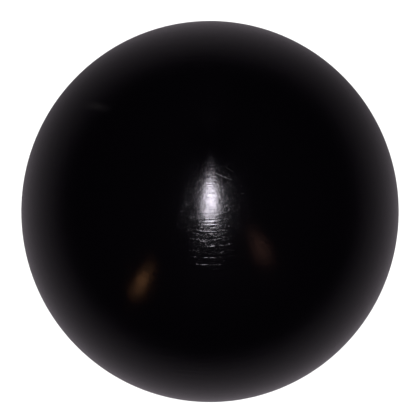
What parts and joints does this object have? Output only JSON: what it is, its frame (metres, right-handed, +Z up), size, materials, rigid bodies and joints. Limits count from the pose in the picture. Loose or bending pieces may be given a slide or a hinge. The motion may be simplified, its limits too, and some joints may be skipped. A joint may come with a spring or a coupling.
{
  "type": "lawn bowl",
  "caption": "Plain black polished lawn bowl for rolling on a green, with a disc let into a small flat land on each side and a bias weight sealed inside.",
  "frame": {"origin": "the bowl's centre, which is the centre of its bounding box, half the running diameter above the surface it stands on", "axes": "+X out of the weighted (bias) side, along the axis the bowl turns about as it rolls; +Z up, away from the green; +Y along the way it rolls"},
  "size_m": [0.115, 0.121, 0.121],
  "materials": {
    "black_composition": "polished",
    "brass": "satin",
    "cement": "satin",
    "ivory_plastic": "satin",
    "engraving_wax": "satin"
  },
  "bodies": {
    "root": {"bowl_body": "black_composition", "bias_weight": "brass", "weight_cement": "cement", "bore_plug": "black_composition", "bias_side_cement": "cement", "bias_side_disc": "ivory_plastic", "bias_side_wax": "engraving_wax", "plain_side_cement": "cement", "plain_side_disc": "ivory_plastic", "plain_side_wax": "engraving_wax"}
  },
  "joints": []
}
